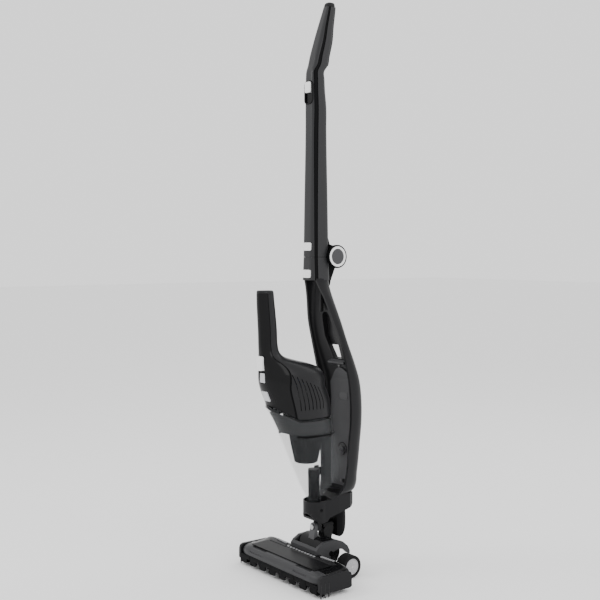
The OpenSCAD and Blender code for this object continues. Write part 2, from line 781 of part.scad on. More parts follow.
module impeller() color("gainsboro") place() translate([0, -42, 310]) rotate([12, 0, 0]) union() {
  translate([0, 0, 3]) cylinder(h = 6, r = 8);
  translate([0, 0, 8.4]) cylinder(h = 5, r = 3);
  translate([0, 0, 3]) cylinder(h = 1.2, r = 25);
  for (a = [0:40:320]) rotate([0, 0, a]) block([6, -0.6, 3.6], [25, 0.6, 8.6]);
}

module dust_bin() color("lightcyan", 0.5) place() tube_band(bin_secs, bin_wall, body_n, steps);

module filter_unit() color("black") place() union() {
  difference() {
    translate([0, -24, 214]) cylinder(h = 60, r1 = 20.5, r2 = 34);
    translate([0, -24, 215.6]) cylinder(h = 60, r1 = 19, r2 = 32.5);
  }
  difference() {
    translate([0, -25, 272.5]) linear_extrude(height = 22, scale = 1.05) scale([0.8, 1]) circle(r = 47);
    translate([0, -25, 274]) linear_extrude(height = 22, scale = 1.05) scale([0.8, 1]) circle(r = 44.6);
    translate([0, -24, 270]) cylinder(h = 10, r = 31.5);
  }
}

module inlet_duct() color("black") place() difference() {
  union() {
    translate([0, pivot_y, 121]) cylinder(h = 24, r = 10.8);
    translate([0, pivot_y, 145]) cylinder(h = 51, r1 = 10.8, r2 = 11.6);
    translate([0, pivot_y, 141.6]) cylinder(h = 1.6, r = 12.5);
    for (s = [-1, 1]) block([s * 7.2 - 1.4, 2, 186], [s * 7.2 + 1.4, 11.6, 201.4]);
  }
  translate([0, pivot_y, 120]) cylinder(h = 80, r = 9.2);
  xrod(-10, 10, 8.6, 198.4, 1.25);
}

module inlet_flap() color("dimgray") place() union() {
  difference() {
    translate([0, pivot_y, 196.3]) cylinder(h = 1.5, r = 11.4);
    for (s = [-1, 1]) block([s * 7.4 - 1.8, 1.2, 190], [s * 7.4 + 1.8, 12, 202]);
  }
  block([-5.2, 2, 196.3], [5.2, 8.6, 197.8]);
  xrod(-8.6, 8.6, 8.6, 198.4, 1.2);
}

sole_plate();
head_shell();
front_bumper();
brush_window();
end_caps();
edge_bristles();
rib_strips();
saddle_cover();
brush_motor();
drive_belt();
brush_bearings();
axles();
sole_screws();
brush_core();
brush_bristles();
motor_pulley();
tyre_left();
hub_left();
tyre_right();
hub_right();
front_roller_left();
front_roller_right();
tilt_drum();
drum_ear();
swivel_pin();
neck_column();
dock_cup();
frame_front_shell();
frame_rear_shell();
tray_panel();
charge_contacts();
charge_jack();
frame_screws();
hinge_lower();
dock_button();
port_sleeve();
tube_front_shell();
tube_rear_shell();
side_inlays();
grip_pad();
grip_end_cap();
switch_well();
power_slider();
fold_button();
hinge_upper();
hinge_pin();
fold_knobs();
knob_rings();
body_front_cover();
body_rear_shell();
hand_grip_cap();
hand_switch();
bin_button();
battery_cells();
suction_motor();
impeller();
dust_bin();
filter_unit();
inlet_duct();
inlet_flap();
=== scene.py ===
"""A cordless stick vacuum: finer shells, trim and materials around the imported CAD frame."""
import math
import bmesh
import bpy
from mathutils import Matrix, Vector


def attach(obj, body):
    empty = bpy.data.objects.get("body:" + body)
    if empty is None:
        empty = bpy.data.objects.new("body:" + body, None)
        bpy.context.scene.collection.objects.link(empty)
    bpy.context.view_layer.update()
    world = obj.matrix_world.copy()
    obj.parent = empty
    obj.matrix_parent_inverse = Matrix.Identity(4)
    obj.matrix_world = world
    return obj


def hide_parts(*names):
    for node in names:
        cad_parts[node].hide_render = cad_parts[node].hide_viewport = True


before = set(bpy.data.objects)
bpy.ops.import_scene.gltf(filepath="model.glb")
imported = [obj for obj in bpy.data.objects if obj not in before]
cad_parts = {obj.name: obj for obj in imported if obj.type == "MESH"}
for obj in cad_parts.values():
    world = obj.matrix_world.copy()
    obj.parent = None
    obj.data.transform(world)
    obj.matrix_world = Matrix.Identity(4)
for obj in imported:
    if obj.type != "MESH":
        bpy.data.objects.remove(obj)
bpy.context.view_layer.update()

MM = 0.001
STICK_Y = 22.85  # the tube axis stands this far behind the middle, in mm
FULL_HEIGHT = 1100.0
FOLD_Z = 605.0
HINGE_Y, HINGE_Z = 33.4, 606.0
PIVOT_Y = -5.0
SEAM_ANGLE = 52.0

# Rings of the lofted shells: centre y, z, half x, half y, front rise, in mm from the tube axis
TUBE = [
    (0, FOLD_Z + 0.3, 17.5, 21.5, 0), (0, 700, 16.6, 20.2, 0), (0, 850, 15, 18, 0),
    (0, 893, 15, 18, 0), (-1.5, 924, 14.6, 16.4, 0), (-1.9, 947, 14.4, 15.5, 0),
    (-1.7, 962, 14.2, 14.6, 0), (4.4, 974, 14.2, 17, 0), (8.6, 992, 14, 16.8, 0),
    (16.9, 1022, 13.5, 16, 0), (23.6, 1052, 11.5, 13.3, 0), (31.3, 1083, 9.5, 10.6, 0),
    (33, FULL_HEIGHT - 9, 8.9, 9.9, 0),
]
BODY = [
    (-34.6, 302.6, 43.4, 61, 25), (-44, 332, 44.5, 66.5, 0), (-56, 362, 44, 67.2, 0),
    (-58, 377, 43.4, 68.6, 0), (-61.3, 388, 41.5, 66, 0), (-66.5, 396, 38, 61.5, 0),
    (-78, 404, 33.5, 51, 0), (-92, 411, 28.5, 37.4, 0), (-104, 418, 22, 25.8, 0),
    (-109.6, 426, 17.4, 20.6, 0), (-112.5, 440, 14.8, 19, 0), (-114, 470, 14, 18.7, 0),
    (-116.4, 500, 13.4, 18.2, 0), (-118.4, 524, 13, 17.4, 0), (-119.2, 538, 12.6, 16.9, 0),
]
BODY_SPLIT = [122, 119, 115, 112, 110, 109, 107, 105, 103, 100, 97, 95, 94, 94, 94]
BIN = [
    (PIVOT_Y, 119, 13.4, 13.4, 0), (PIVOT_Y, 136, 13.4, 13.4, 0), (PIVOT_Y, 148, 17, 17.5, 0),
    (0, 165, 27.5, 31, 0), (3.4, 178, 34, 39.5, 0), (2, 193, 38.5, 45, 0),
    (-3, 211, 40, 49, 0), (-10.5, 231, 41, 50.6, 0), (-20, 259, 42, 54.5, 0),
    (-29, 287, 43, 58.7, 10), (-34.6, 301.4, 43.4, 61, 25),
]
FRAME = [
    (32, 148, 31, 44, 0), (38, 156, 36, 43, 0), (44, 188, 42, 38.6, 0), (46, 246, 46.5, 41.2, 0),
    (49, 285, 48, 41.4, 0), (49, 326, 48, 41.4, 0), (44, 365, 49.5, 40, 0),
    (36, 400, 49.5, 34.5, 0),
    (25, 442, 48, 26.5, 0), (11, 483, 41, 29.5, 0), (-1, 527, 29.5, 29, 0),
    (-12, 556, 20.4, 35.9, 0), (-15, 564, 19.6, 39.2, 0),
]
TRAY = [
    (32, 148, 28.5, 30.5, 0), (38, 156, 31, 26, 0), (44, 188, 37, 21, 0), (46, 246, 41.5, 23, 0),
    (49, 285, 43, 21, 0), (49, 326, 43, 21, 0), (44, 365, 44.2, 24, 0), (36, 400, 44, 20, 0),
    (25, 442, 42.5, 15, 0), (11, 483, 35.5, 15, 0), (-1, 527, 24.5, 17, 0),
    (-12, 556, 15.8, 22, 0), (-15, 564, 15, 24, 0),
]
TUBE_N, FRAME_N, BODY_N = 4.5, 3.2, 2.3
# The dark strip in each side of the tube: middle and half width along y, in mm, at each ring of TUBE
STRIP = [(-12.5, 3.5), (-12, 3.8), (-10.2, 4.5), (-9.5, 4.5), (-8.8, 4.4), (-8.5, 4.3), (-8.2, 4.1),
         (-7.5, 4), (-7, 3.7), (-6.5, 3.2), (-6, 2.7), (-5.3, 2.2), (-5.2, 2.1)]

# ---- small helpers ----

def at(x, y, z):
    """A point given in mm from the tube axis, in the row frame's metres."""
    return Vector((x * MM, (y + STICK_Y) * MM, z * MM))


def new_object(name, mesh, material, body, bevel=0.0, bevel_angle=35, smooth=True):
    """Puts a mesh into the scene, smooth shaded, on a body."""
    obj = bpy.data.objects.new(name, mesh)
    bpy.context.scene.collection.objects.link(obj)
    obj.data.materials.clear()
    obj.data.materials.append(material)
    for p in obj.data.polygons:
        p.use_smooth = smooth
    if bevel:
        m = obj.modifiers.new("edges", "BEVEL")
        m.width = bevel * MM
        m.segments = 2
        m.limit_method = "ANGLE"
        m.angle_limit = math.radians(bevel_angle)
        m.harden_normals = False
    if smooth:
        n = obj.modifiers.new("normals", "WEIGHTED_NORMAL")
        n.keep_sharp = True
    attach(obj, body)
    return obj


def mesh_from(name, verts, faces):
    mesh = bpy.data.meshes.new(name)
    mesh.from_pydata([tuple(v) for v in verts], [], faces)
    bm = bmesh.new()
    bm.from_mesh(mesh)
    bmesh.ops.remove_doubles(bm, verts=bm.verts, dist=1e-7)
    bmesh.ops.recalc_face_normals(bm, faces=bm.faces)
    bm.to_mesh(mesh)
    bm.free()
    return mesh


def signed_power(v, p):
    return math.copysign(abs(v) ** p, v)


def refine(rings, per):
    """Smooth rings between the given ones, by cubic steps along z."""
    out = []
    size = len(rings[0])
    for i in range(len(rings) - 1):
        for step in range(per):
            t = step / per
            row = []
            for c in range(size):
                p0, p1 = rings[max(i - 1, 0)], rings[i]
                p2, p3 = rings[i + 1], rings[min(i + 2, len(rings) - 1)]
                h = p2[1] - p1[1]
                slope = (p2[c] - p1[c]) / h
                m1 = 0.5 * (slope + (p1[c] - p0[c]) / (p1[1] - p0[1])) if i > 0 else slope
                m2 = 0.5 * ((p3[c] - p2[c]) / (p3[1] - p2[1]) + slope) if i < len(rings) - 2 else slope
                h00, h10 = 2 * t**3 - 3 * t**2 + 1, t**3 - 2 * t**2 + t
                h01, h11 = -2 * t**3 + 3 * t**2, t**3 - t**2
                row.append(h00 * p1[c] + h10 * h * m1 + h01 * p2[c] + h11 * h * m2)
            out.append(tuple(row))
    out.append(tuple(rings[-1]))
    return out


def ring_point(s, angle, cut, n):
    """Point of a ring at an angle from the rear, in degrees; the rise lifts the parting edge at the front."""
    a = math.radians(angle)
    rise = s[4] * max(0.0, (-math.cos(a) - 0.5) / 0.5)
    return at((s[2] - cut) * signed_power(math.sin(a), 2 / n),
              s[0] + (s[3] - cut) * signed_power(math.cos(a), 2 / n) - 0.66 * rise,
              s[1] + rise)


def sheet(rings, spans, cut, n, k):
    return [ring_point(s, a0 + (a1 - a0) * j / k, cut, n)
            for s, (a0, a1) in zip(rings, spans) for j in range(k + 1)]


def wall_mesh(name, outside, inside, rows, k):
    """A closed wall between two sheets of points, each with rows rings of k + 1 points."""
    w, off, faces = k + 1, rows * (k + 1), []
    for i in range(rows - 1):
        for j in range(k):
            a, b = i * w + j, (i + 1) * w + j
            faces.append((a, a + 1, b + 1, b))
            faces.append((off + a, off + b, off + b + 1, off + a + 1))
        for j in (0, k):
            a, b = i * w + j, (i + 1) * w + j
            faces.append((a, b, off + b, off + a))
    for j in range(k):
        for base in (0, (rows - 1) * w):
            faces.append((base + j, off + base + j, off + base + j + 1, base + j + 1))
    return mesh_from(name, outside + inside, faces)


def band_mesh(name, outer, inner, spans, cut, n, k):
    return wall_mesh(name, sheet(outer, spans, 0, n, k), sheet(inner, spans, cut, n, k), len(outer), k)


def tube_mesh(name, outer, cut, n, k, capped=False):
    """A closed tube wall, or a solid where capped."""
    rows, faces = len(outer), []
    spans = [(0, 360 - 360 / k)] * rows
    verts = sheet(outer, spans, 0, n, k - 1)
    off = len(verts)
    if not capped:
        verts = verts + sheet(outer, spans, cut, n, k - 1)
    for i in range(rows - 1):
        for j in range(k):
            a, b, a2, b2 = i * k + j, (i + 1) * k + j, i * k + (j + 1) % k, (i + 1) * k + (j + 1) % k
            faces.append((a, a2, b2, b))
            if not capped:
                faces.append((off + a, off + b, off + b2, off + a2))
    if capped:
        faces.append(tuple(range(k)))
        faces.append(tuple(range(off - 1, off - 1 - k, -1)))
    else:
        for j in range(k):
            for base in (0, (rows - 1) * k):
                faces.append((base + j, off + base + j, off + base + (j + 1) % k, base + (j + 1) % k))
    return mesh_from(name, verts, faces)


def shifted(rings, d):
    """The same rings, grown by d."""
    return [(s[0], s[1], s[2] + d, s[3] + d, s[4]) for s in rings]


def prism_mesh(name, outline, lo, hi, axis="x"):
    """An outline swept along an axis. The outline is (y, z) for x, (x, z) for y and (x, y) for z, in mm."""
    def put(p, t):
        if axis == "x":
            return at(t, p[0], p[1])
        if axis == "y":
            return at(p[0], t, p[1])
        return at(p[0], p[1], t)
    n = len(outline)
    verts = [put(p, lo) for p in outline] + [put(p, hi) for p in outline]
    faces = [tuple(range(n)), tuple(range(2 * n - 1, n - 1, -1))]
    faces += [(i, (i + 1) % n, n + (i + 1) % n, n + i) for i in range(n)]
    return mesh_from(name, verts, faces)


def rounded(w, h, r, cx=0.0, cy=0.0, k=6):
    """A rounded rectangle's outline, w by h about a centre."""
    pts = []
    for sx, sy, start in ((1, 1, 0), (-1, 1, 90), (-1, -1, 180), (1, -1, 270)):
        for i in range(k + 1):
            a = math.radians(start + 90 * i / k)
            pts.append((cx + sx * (w / 2 - r) + r * math.cos(a), cy + sy * (h / 2 - r) + r * math.sin(a)))
    return pts


def lathe_mesh(name, profile, origin, direction, k=64):
    """A profile of (radius, height) points turned about a direction through an origin, in mm."""
    axis = Vector(direction).normalized()
    side = axis.orthogonal().normalized()
    other = axis.cross(side)
    verts, faces = [], []
    for r, h in profile:
        for j in range(k):
            a = 2 * math.pi * j / k
            verts.append(at(*origin) + (axis * h + (side * math.cos(a) + other * math.sin(a)) * r) * MM)
    m = len(profile)
    for i in range(m - 1):
        for j in range(k):
            faces.append((i * k + j, i * k + (j + 1) % k, (i + 1) * k + (j + 1) % k, (i + 1) * k + j))
    if profile[0][0] > 1e-6:
        faces.append(tuple(range(k)))
    if profile[-1][0] > 1e-6:
        faces.append(tuple(range(m * k - 1, (m - 1) * k - 1, -1)))
    return mesh_from(name, verts, faces)


def ring_mesh(name, profile, origin, direction, k=64):
    """A closed profile of (radius, height) points turned into a ring."""
    axis = Vector(direction).normalized()
    side = axis.orthogonal().normalized()
    other = axis.cross(side)
    m = len(profile)
    verts = [at(*origin) + (axis * h + (side * math.cos(2 * math.pi * j / k)
             + other * math.sin(2 * math.pi * j / k)) * r) * MM for r, h in profile for j in range(k)]
    faces = [(i * k + j, i * k + (j + 1) % k, (i + 1) % m * k + (j + 1) % k, (i + 1) % m * k + j)
             for i in range(m) for j in range(k)]
    return mesh_from(name, verts, faces)


def carve(obj, *cutters):
    """Cuts meshes out of a piece, for good."""
    for c in cutters:
        tool = bpy.data.objects.new("cutter", c)
        bpy.context.scene.collection.objects.link(tool)
        mod = obj.modifiers.new("cut", "BOOLEAN")
        mod.operation = "DIFFERENCE"
        mod.solver = "EXACT"
        mod.object = tool
        while obj.modifiers[0] != mod:
            bpy.context.view_layer.objects.active = obj
            with bpy.context.temp_override(object=obj, active_object=obj):
                bpy.ops.object.modifier_move_to_index(modifier=mod.name, index=0)
        with bpy.context.temp_override(object=obj, active_object=obj, selected_objects=[obj]):
            bpy.ops.object.modifier_apply(modifier=mod.name)
        bpy.data.objects.remove(tool)
    for p in obj.data.polygons:
        p.use_smooth = True
    return obj


def joined(name, *meshes):
    """Several meshes as one, without merging their surfaces."""
    bm = bmesh.new()
    for m in meshes:
        bm.from_mesh(m)
    mesh = bpy.data.meshes.new(name)
    bm.to_mesh(mesh)
    bm.free()
    return mesh


def ring_between(rings, z):
    """The ring at a height between the given ones."""
    for a, b in zip(rings, rings[1:]):
        if z <= b[1]:
            t = (z - a[1]) / (b[1] - a[1])
            return tuple(p + (q - p) * t for p, q in zip(a, b))
    return rings[-1]


def surface_y(rings, n, x, z, side=1):
    """Where a loft's surface stands at x and z, on its rear (1) or front (-1)."""
    s = ring_between(rings, z)
    return s[0] + side * s[3] * max(0.0, 1 - abs(x / s[2]) ** n) ** (1 / n)


def grid_wall(name, rows, cols, place, depth):
    """A plate whose face follows place(u, v) and whose back lies depth mm behind it along y."""
    front, back = [], []
    for i in range(rows + 1):
        for j in range(cols + 1):
            x, y, z = place(2 * j / cols - 1, i / rows)
            front.append(at(x, y, z))
            back.append(at(x, y + depth, z))
    return wall_mesh(name, front, back, rows + 1, cols)


def arc_points(cx, cy, r, a0, a1, k=16):
    return [(cx + r * math.cos(math.radians(a0 + (a1 - a0) * i / k)),
             cy + r * math.sin(math.radians(a0 + (a1 - a0) * i / k))) for i in range(k + 1)]


def stand_for(obj, *nodes):
    """obj is shown in place of these CAD nodes, which are hidden."""
    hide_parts(*nodes)
    return obj


# ---- materials ----

def material(name, color, rough, metallic=0.0, grain=0.0, grain_scale=900.0, tint=0.04, coat=0.0,
             wear=0.05, specular=0.28, flecks=None):
    """Moulded plastic, rubber or metal: mottled colour, uneven gloss and a fine grain."""
    mat = bpy.data.materials.new(name)
    mat.use_nodes = True
    nodes, links = mat.node_tree.nodes, mat.node_tree.links
    bsdf = nodes["Principled BSDF"]
    bsdf.inputs["Metallic"].default_value = metallic
    bsdf.inputs["Coat Weight"].default_value = coat
    bsdf.inputs["Coat Roughness"].default_value = 0.06
    bsdf.inputs["Specular IOR Level"].default_value = specular
    where = nodes.new("ShaderNodeTexCoord")
    cloud = nodes.new("ShaderNodeTexNoise")
    cloud.inputs["Scale"].default_value = 14.0
    cloud.inputs["Detail"].default_value = 4.0
    links.new(where.outputs["Object"], cloud.inputs["Vector"])
    shade = nodes.new("ShaderNodeMix")
    shade.data_type = "RGBA"
    shade.inputs[6].default_value = (*[c * (1 - tint) for c in color], 1)
    shade.inputs[7].default_value = (*[min(1.0, c * (1 + tint)) for c in color], 1)
    links.new(cloud.outputs["Fac"], shade.inputs[0])
    colour_out = shade.outputs[2]
    if flecks:
        dots = nodes.new("ShaderNodeTexNoise")
        dots.inputs["Scale"].default_value = flecks[1]
        dots.inputs["Detail"].default_value = 2.0
        links.new(where.outputs["Object"], dots.inputs["Vector"])
        pick = nodes.new("ShaderNodeMapRange")
        pick.inputs["From Min"].default_value = 0.56
        pick.inputs["From Max"].default_value = 0.66
        links.new(dots.outputs["Fac"], pick.inputs["Value"])
        over = nodes.new("ShaderNodeMix")
        over.data_type = "RGBA"
        over.inputs[7].default_value = (*flecks[0], 1)
        links.new(pick.outputs["Result"], over.inputs[0])
        links.new(colour_out, over.inputs[6])
        colour_out = over.outputs[2]
    links.new(colour_out, bsdf.inputs["Base Color"])
    gloss = nodes.new("ShaderNodeMapRange")
    gloss.inputs["To Min"].default_value = max(0.02, rough - wear)
    gloss.inputs["To Max"].default_value = min(1.0, rough + wear)
    links.new(cloud.outputs["Fac"], gloss.inputs["Value"])
    links.new(gloss.outputs["Result"], bsdf.inputs["Roughness"])
    if grain:
        fine = nodes.new("ShaderNodeTexNoise")
        fine.inputs["Scale"].default_value = grain_scale
        fine.inputs["Detail"].default_value = 3.0
        links.new(where.outputs["Object"], fine.inputs["Vector"])
        bump = nodes.new("ShaderNodeBump")
        bump.inputs["Strength"].default_value = grain
        bump.inputs["Distance"].default_value = 0.0004
        links.new(fine.outputs["Fac"], bump.inputs["Height"])
        links.new(bump.outputs["Normal"], bsdf.inputs["Normal"])
    return mat


def clear_plastic(name, color, alpha, rough=0.04):
    """Clear moulded plastic, thin enough that light isn't bent."""
    mat = material(name, color, rough, wear=0.02, coat=0.0, specular=0.35)
    bsdf = mat.node_tree.nodes["Principled BSDF"]
    bsdf.inputs["Alpha"].default_value = alpha
    return mat


SHELL = material("shell_plastic", (0.022, 0.022, 0.0235), 0.32, grain=0.03, tint=0.04, coat=0.03,
                 specular=0.2)
SHELL_REAR = material("rear_shell_plastic", (0.024, 0.024, 0.0255), 0.38, grain=0.05, tint=0.04, coat=0.02,
                      specular=0.2)
FRAME_LOOK = material("frame_plastic", (0.011, 0.011, 0.012), 0.32, grain=0.04, tint=0.05, coat=0.02,
                      specular=0.12)
FRAME_REAR = material("frame_rear_plastic", (0.02, 0.02, 0.021), 0.36, grain=0.05, tint=0.05, coat=0.02,
                      specular=0.18)
PANEL = material("panel_plastic", (0.055, 0.055, 0.058), 0.44, grain=0.08, tint=0.04, specular=0.2)
WHITE = material("white_gloss", (0.86, 0.86, 0.86), 0.2, coat=0.3, tint=0.01, specular=0.5)
LENS = material("pale_lens", (0.5, 0.5, 0.52), 0.14, coat=0.4, tint=0.03)
HUB = material("speckled_hub", (0.4, 0.4, 0.41), 0.36, grain=0.1, tint=0.1,
               flecks=((0.12, 0.12, 0.13), 900.0))
HEAD_GREY = material("head_plastic", (0.03, 0.03, 0.032), 0.4, grain=0.06, tint=0.05, coat=0.02, specular=0.2)
SADDLE = material("saddle_plastic", (0.034, 0.034, 0.036), 0.46, grain=0.1, tint=0.05, specular=0.2)
EAR = material("ear_plastic", (0.06, 0.06, 0.063), 0.42, grain=0.08, tint=0.04)
CAP = material("cap_plastic", (0.013, 0.013, 0.014), 0.42, grain=0.12, tint=0.06, specular=0.12)
# Light grey of the head's rib strips: partly the ribs' own colour, partly a painted highlight that stands in
# for the glints of light on them.
RIB_GREY_AND_PAINTED_HIGHLIGHT = material("rib_grey_and_painted_highlight", (0.3, 0.3, 0.31), 0.34, tint=0.04)
BLACK_MATT = material("black_plastic", (0.004, 0.004, 0.0045), 0.5, grain=0.12, tint=0.1, specular=0.05)
BLACK_GLOSS = material("black_gloss", (0.004, 0.004, 0.0045), 0.2, tint=0.06, wear=0.03, coat=0.04,
                       specular=0.12)
WINDOW = material("window_tint", (0.006, 0.006, 0.0065), 0.34, tint=0.08, specular=0.06)
COVER = material("cover_gloss", (0.005, 0.005, 0.0055), 0.16, tint=0.06, wear=0.03, coat=0.06, specular=0.12)
HOUSING = material("housing_plastic", (0.014, 0.014, 0.015), 0.32, grain=0.05, tint=0.05, coat=0.02,
                   specular=0.15)
RUBBER = material("rubber", (0.008, 0.008, 0.0085), 0.64, grain=0.3, grain_scale=1400.0, tint=0.1,
                  specular=0.1)
GRIP = material("grip_rubber", (0.034, 0.034, 0.036), 0.62, grain=0.4, grain_scale=1100.0, tint=0.06)
SCREW = material("dark_screw", (0.12, 0.12, 0.12), 0.4, metallic=1.0, grain=0.1, tint=0.05)
STEEL = material("brushed_steel", (0.5, 0.5, 0.5), 0.3, metallic=1.0, grain=0.1, tint=0.05, specular=0.5)
TUFT = material("brush_tufts", (0.012, 0.012, 0.013), 0.8, grain=0.6, grain_scale=2600.0, tint=0.2)
EDGE_TUFT = material("edge_tufts", (0.03, 0.03, 0.031), 0.8, grain=0.6, grain_scale=2600.0, tint=0.2)
FILTER = material("filter_black", (0.012, 0.012, 0.013), 0.65, grain=0.25, tint=0.1, specular=0.1)
FILTER_RIM = material("filter_rim", (0.022, 0.022, 0.023), 0.48, grain=0.1, tint=0.06, specular=0.12)
CELL = material("cell_wrap", (0.05, 0.12, 0.34), 0.3, tint=0.05)
FAN = material("fan_plastic", (0.4, 0.4, 0.4), 0.4, tint=0.05)
CLEAR = clear_plastic("clear_bin", (0.1, 0.105, 0.11), 0.09)

CAD_LOOKS = {
    "sole_plate": BLACK_MATT, "head_shell": HEAD_GREY, "front_bumper": BLACK_MATT,
    "brush_window": WINDOW, "end_caps": CAP, "edge_bristles": EDGE_TUFT, "rib_strips": RIB_GREY_AND_PAINTED_HIGHLIGHT,
    "saddle_cover": SADDLE, "brush_motor": STEEL, "drive_belt": RUBBER, "brush_bearings": STEEL,
    "axles": STEEL, "sole_screws": STEEL, "brush_core": CAP, "brush_bristles": TUFT,
    "motor_pulley": STEEL, "tyre_left": RUBBER, "tyre_right": RUBBER, "hub_left": HUB,
    "hub_right": HUB, "front_roller_left": RUBBER, "front_roller_right": RUBBER,
    "tilt_drum": BLACK_GLOSS, "drum_ear": EAR, "swivel_pin": STEEL, "neck_column": BLACK_MATT,
    "dock_cup": CAP, "frame_front_shell": FRAME_LOOK, "frame_rear_shell": FRAME_REAR,
    "tray_panel": PANEL, "charge_contacts": PANEL, "charge_jack": BLACK_MATT,
    "frame_screws": SCREW, "hinge_lower": BLACK_MATT, "dock_button": WHITE,
    "port_sleeve": BLACK_MATT, "tube_front_shell": SHELL, "tube_rear_shell": SHELL_REAR,
    "side_inlays": BLACK_MATT, "grip_pad": GRIP, "grip_end_cap": CAP,
    "switch_well": BLACK_GLOSS, "power_slider": WHITE, "fold_button": WHITE,
    "hinge_upper": BLACK_MATT, "hinge_pin": STEEL, "fold_knobs": BLACK_GLOSS,
    "knob_rings": WHITE, "body_front_cover": COVER, "body_rear_shell": HOUSING,
    "hand_grip_cap": HOUSING, "hand_switch": WHITE, "bin_button": LENS, "battery_cells": CELL,
    "suction_motor": CAP, "impeller": FAN, "dust_bin": CLEAR, "filter_unit": FILTER,
    "inlet_duct": BLACK_MATT, "inlet_flap": CAP,
}
# Width in mm of the rounded edges of the moulded pieces that are shown as they are in the CAD
EDGES = {
    "sole_plate": 0.6, "front_bumper": 0.5, "saddle_cover": 1.2, "tilt_drum": 1.0,
    "drum_ear": 1.0, "neck_column": 2.2, "dock_cup": 1.6, "charge_jack": 0.4, "frame_screws": 0.2,
    "hinge_lower": 0.9, "dock_button": 0.7, "port_sleeve": 0.5, "switch_well": 0.7,
    "power_slider": 0.8, "fold_button": 0.7, "hinge_upper": 0.9, "hinge_pin": 0.4,
    "fold_knobs": 1.0, "knob_rings": 0.4, "hand_switch": 0.9, "bin_button": 0.6,
    "inlet_duct": 0.4, "inlet_flap": 0.3, "suction_motor": 0.8, "brush_motor": 0.8,
    "rib_strips": 0.5, "battery_cells": 0.6, "end_caps": 2.4, "brush_window": 0.4,
}
for node_name, look in CAD_LOOKS.items():
    cad_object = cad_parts[node_name]
    cad_object.data.materials.clear()
    cad_object.data.materials.append(look)
    if node_name in EDGES:
        soft = cad_object.modifiers.new("edges", "BEVEL")
        soft.width = EDGES[node_name] * MM
        soft.segments = 3
        soft.limit_method = "ANGLE"
        soft.angle_limit = math.radians(38)
        even = cad_object.modifiers.new("normals", "WEIGHTED_NORMAL")
        even.keep_sharp = True


# ---- stick tube and handle ----

def strip_spans(rings, grow=0.0):
    """Angles from the rear to the strip's rear and front edges. Each ring ends in middle and half width."""
    def angle(s, d):
        return math.degrees(math.acos(-min(1.0, max(0.0, -(s[5] + d) / s[3])) ** (TUBE_N / 2)))
    return [(angle(s, s[6] + grow), angle(s, -s[6] - grow)) for s in rings]


def split_tube(prefix, rings, body, front_node, rear_node, strip_name):
    """A tube as a front and a rear shell with a dark strip let in between them on each side."""
    gap, fill = strip_spans(rings, 0.15), strip_spans(rings)
    rings = [r[:5] for r in rings]
    front = new_object(prefix + "_front",
                       band_mesh("f", rings, rings, [(b, 360 - b) for a, b in gap], 2.4, TUBE_N, 64),
                       SHELL, body, bevel=0.4)
    stand_for(front, front_node)
    rear = new_object(prefix + "_rear",
                      band_mesh("r", rings, rings, [(-a, a) for a, b in gap], 2.4, TUBE_N, 80),
                      SHELL_REAR, body, bevel=0.4)
    stand_for(rear, rear_node)
    slim = shifted(rings, -0.7)
    strips = [band_mesh("s", slim, slim, [(sign * a, sign * b) for a, b in fill], 1.5, TUBE_N, 6)
              for sign in (1, -1)]
    strip = new_object(strip_name, joined("strips", *strips), BLACK_MATT, body)
    return front, rear, strip


def build_tube():
    rings = refine([(*ring, *strip) for ring, strip in zip(TUBE, STRIP)], 6)
    front, rear, strip = split_tube("tube", rings, "handle", "tube_front_shell", "tube_rear_shell",
                                    "side_inlay_strips")
    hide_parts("side_inlays")
    carve(front,
          prism_mesh("c", rounded(23.8, 15.8, 3.2, 0, 625), -40, -8, "y"),
          prism_mesh("c", rounded(25.2, 45.4, 9, 0, 920.5), -40, -8, "y"))
    carve(rear, prism_mesh("c", rounded(38, 60, 1, 0, FOLD_Z - 5.6), 18.2, 50, "y"))
    rings = [ring[:5] for ring in rings]
    high = rings[42:]
    grip = new_object("grip_rear", band_mesh("grip_rear", shifted(high, 0.75), shifted(high, 0.1),
                                             [(-50, 50)] * len(high), 0, TUBE_N, 32),
                      GRIP, "handle", bevel=0.3)
    stand_for(grip, "grip_pad")
    dome = [(33.0, 1091.2, 8.8, 9.8, 0), (33.3, 1094.5, 8.6, 9.5, 0), (33.6, 1097.2, 7.9, 8.8, 0),
            (33.9, 1099.2, 6.6, 7.4, 0), (34.0, 1100.0, 4.6, 5.2, 0)]
    cap = new_object("grip_top", tube_mesh("grip_top", dome, 0, 3.2, 64, capped=True), CAP, "handle",
                     bevel=0.3)
    stand_for(cap, "grip_end_cap")


build_tube()


def build_knobs():
    """Fold knobs: a black rim, a white ring and a grey centre disc, on both ends of the hinge pin."""
    for side, sign in (("right", 1), ("left", -1)):
        base = (0, HINGE_Y, HINGE_Z)
        rim = [(0, 18.8), (21.6, 18.8), (22.5, 19.8), (22.5, 25.0), (22.0, 26.0), (20.0, 26.0), (19.8, 24.8),
               (0, 24.8)]
        knob = new_object("fold_knob_" + side, lathe_mesh("knob", rim, base, (sign, 0, 0), 96), BLACK_MATT,
                          "handle", bevel=0.3)
        stand_for(knob, "fold_knobs")
        ring = [(15.0, 24.9), (19.7, 24.9), (19.7, 25.7), (19.2, 26.1), (15.6, 26.1), (15.0, 25.7)]
        stand_for(new_object("knob_ring_" + side, ring_mesh("ring", ring, base, (sign, 0, 0), 96), WHITE,
                             "handle", bevel=0.15), "knob_rings")
        disc = [(0, 25.9), (13.6, 25.9), (14.6, 25.5), (14.9, 24.9), (0, 24.8)]
        new_object("knob_disc_" + side, lathe_mesh("disc", disc, base, (sign, 0, 0), 96), PANEL,
                           "handle")


build_knobs()

# ---- stick frame ----

SLOT_OUTLINE = [(-12, 406), (12, 406), (18, 452), *arc_points(0, 488, 11, 0, 180, 20), (-18, 452)]


def slot_cutter():
    return prism_mesh("c", SLOT_OUTLINE, -60, 100, "y")


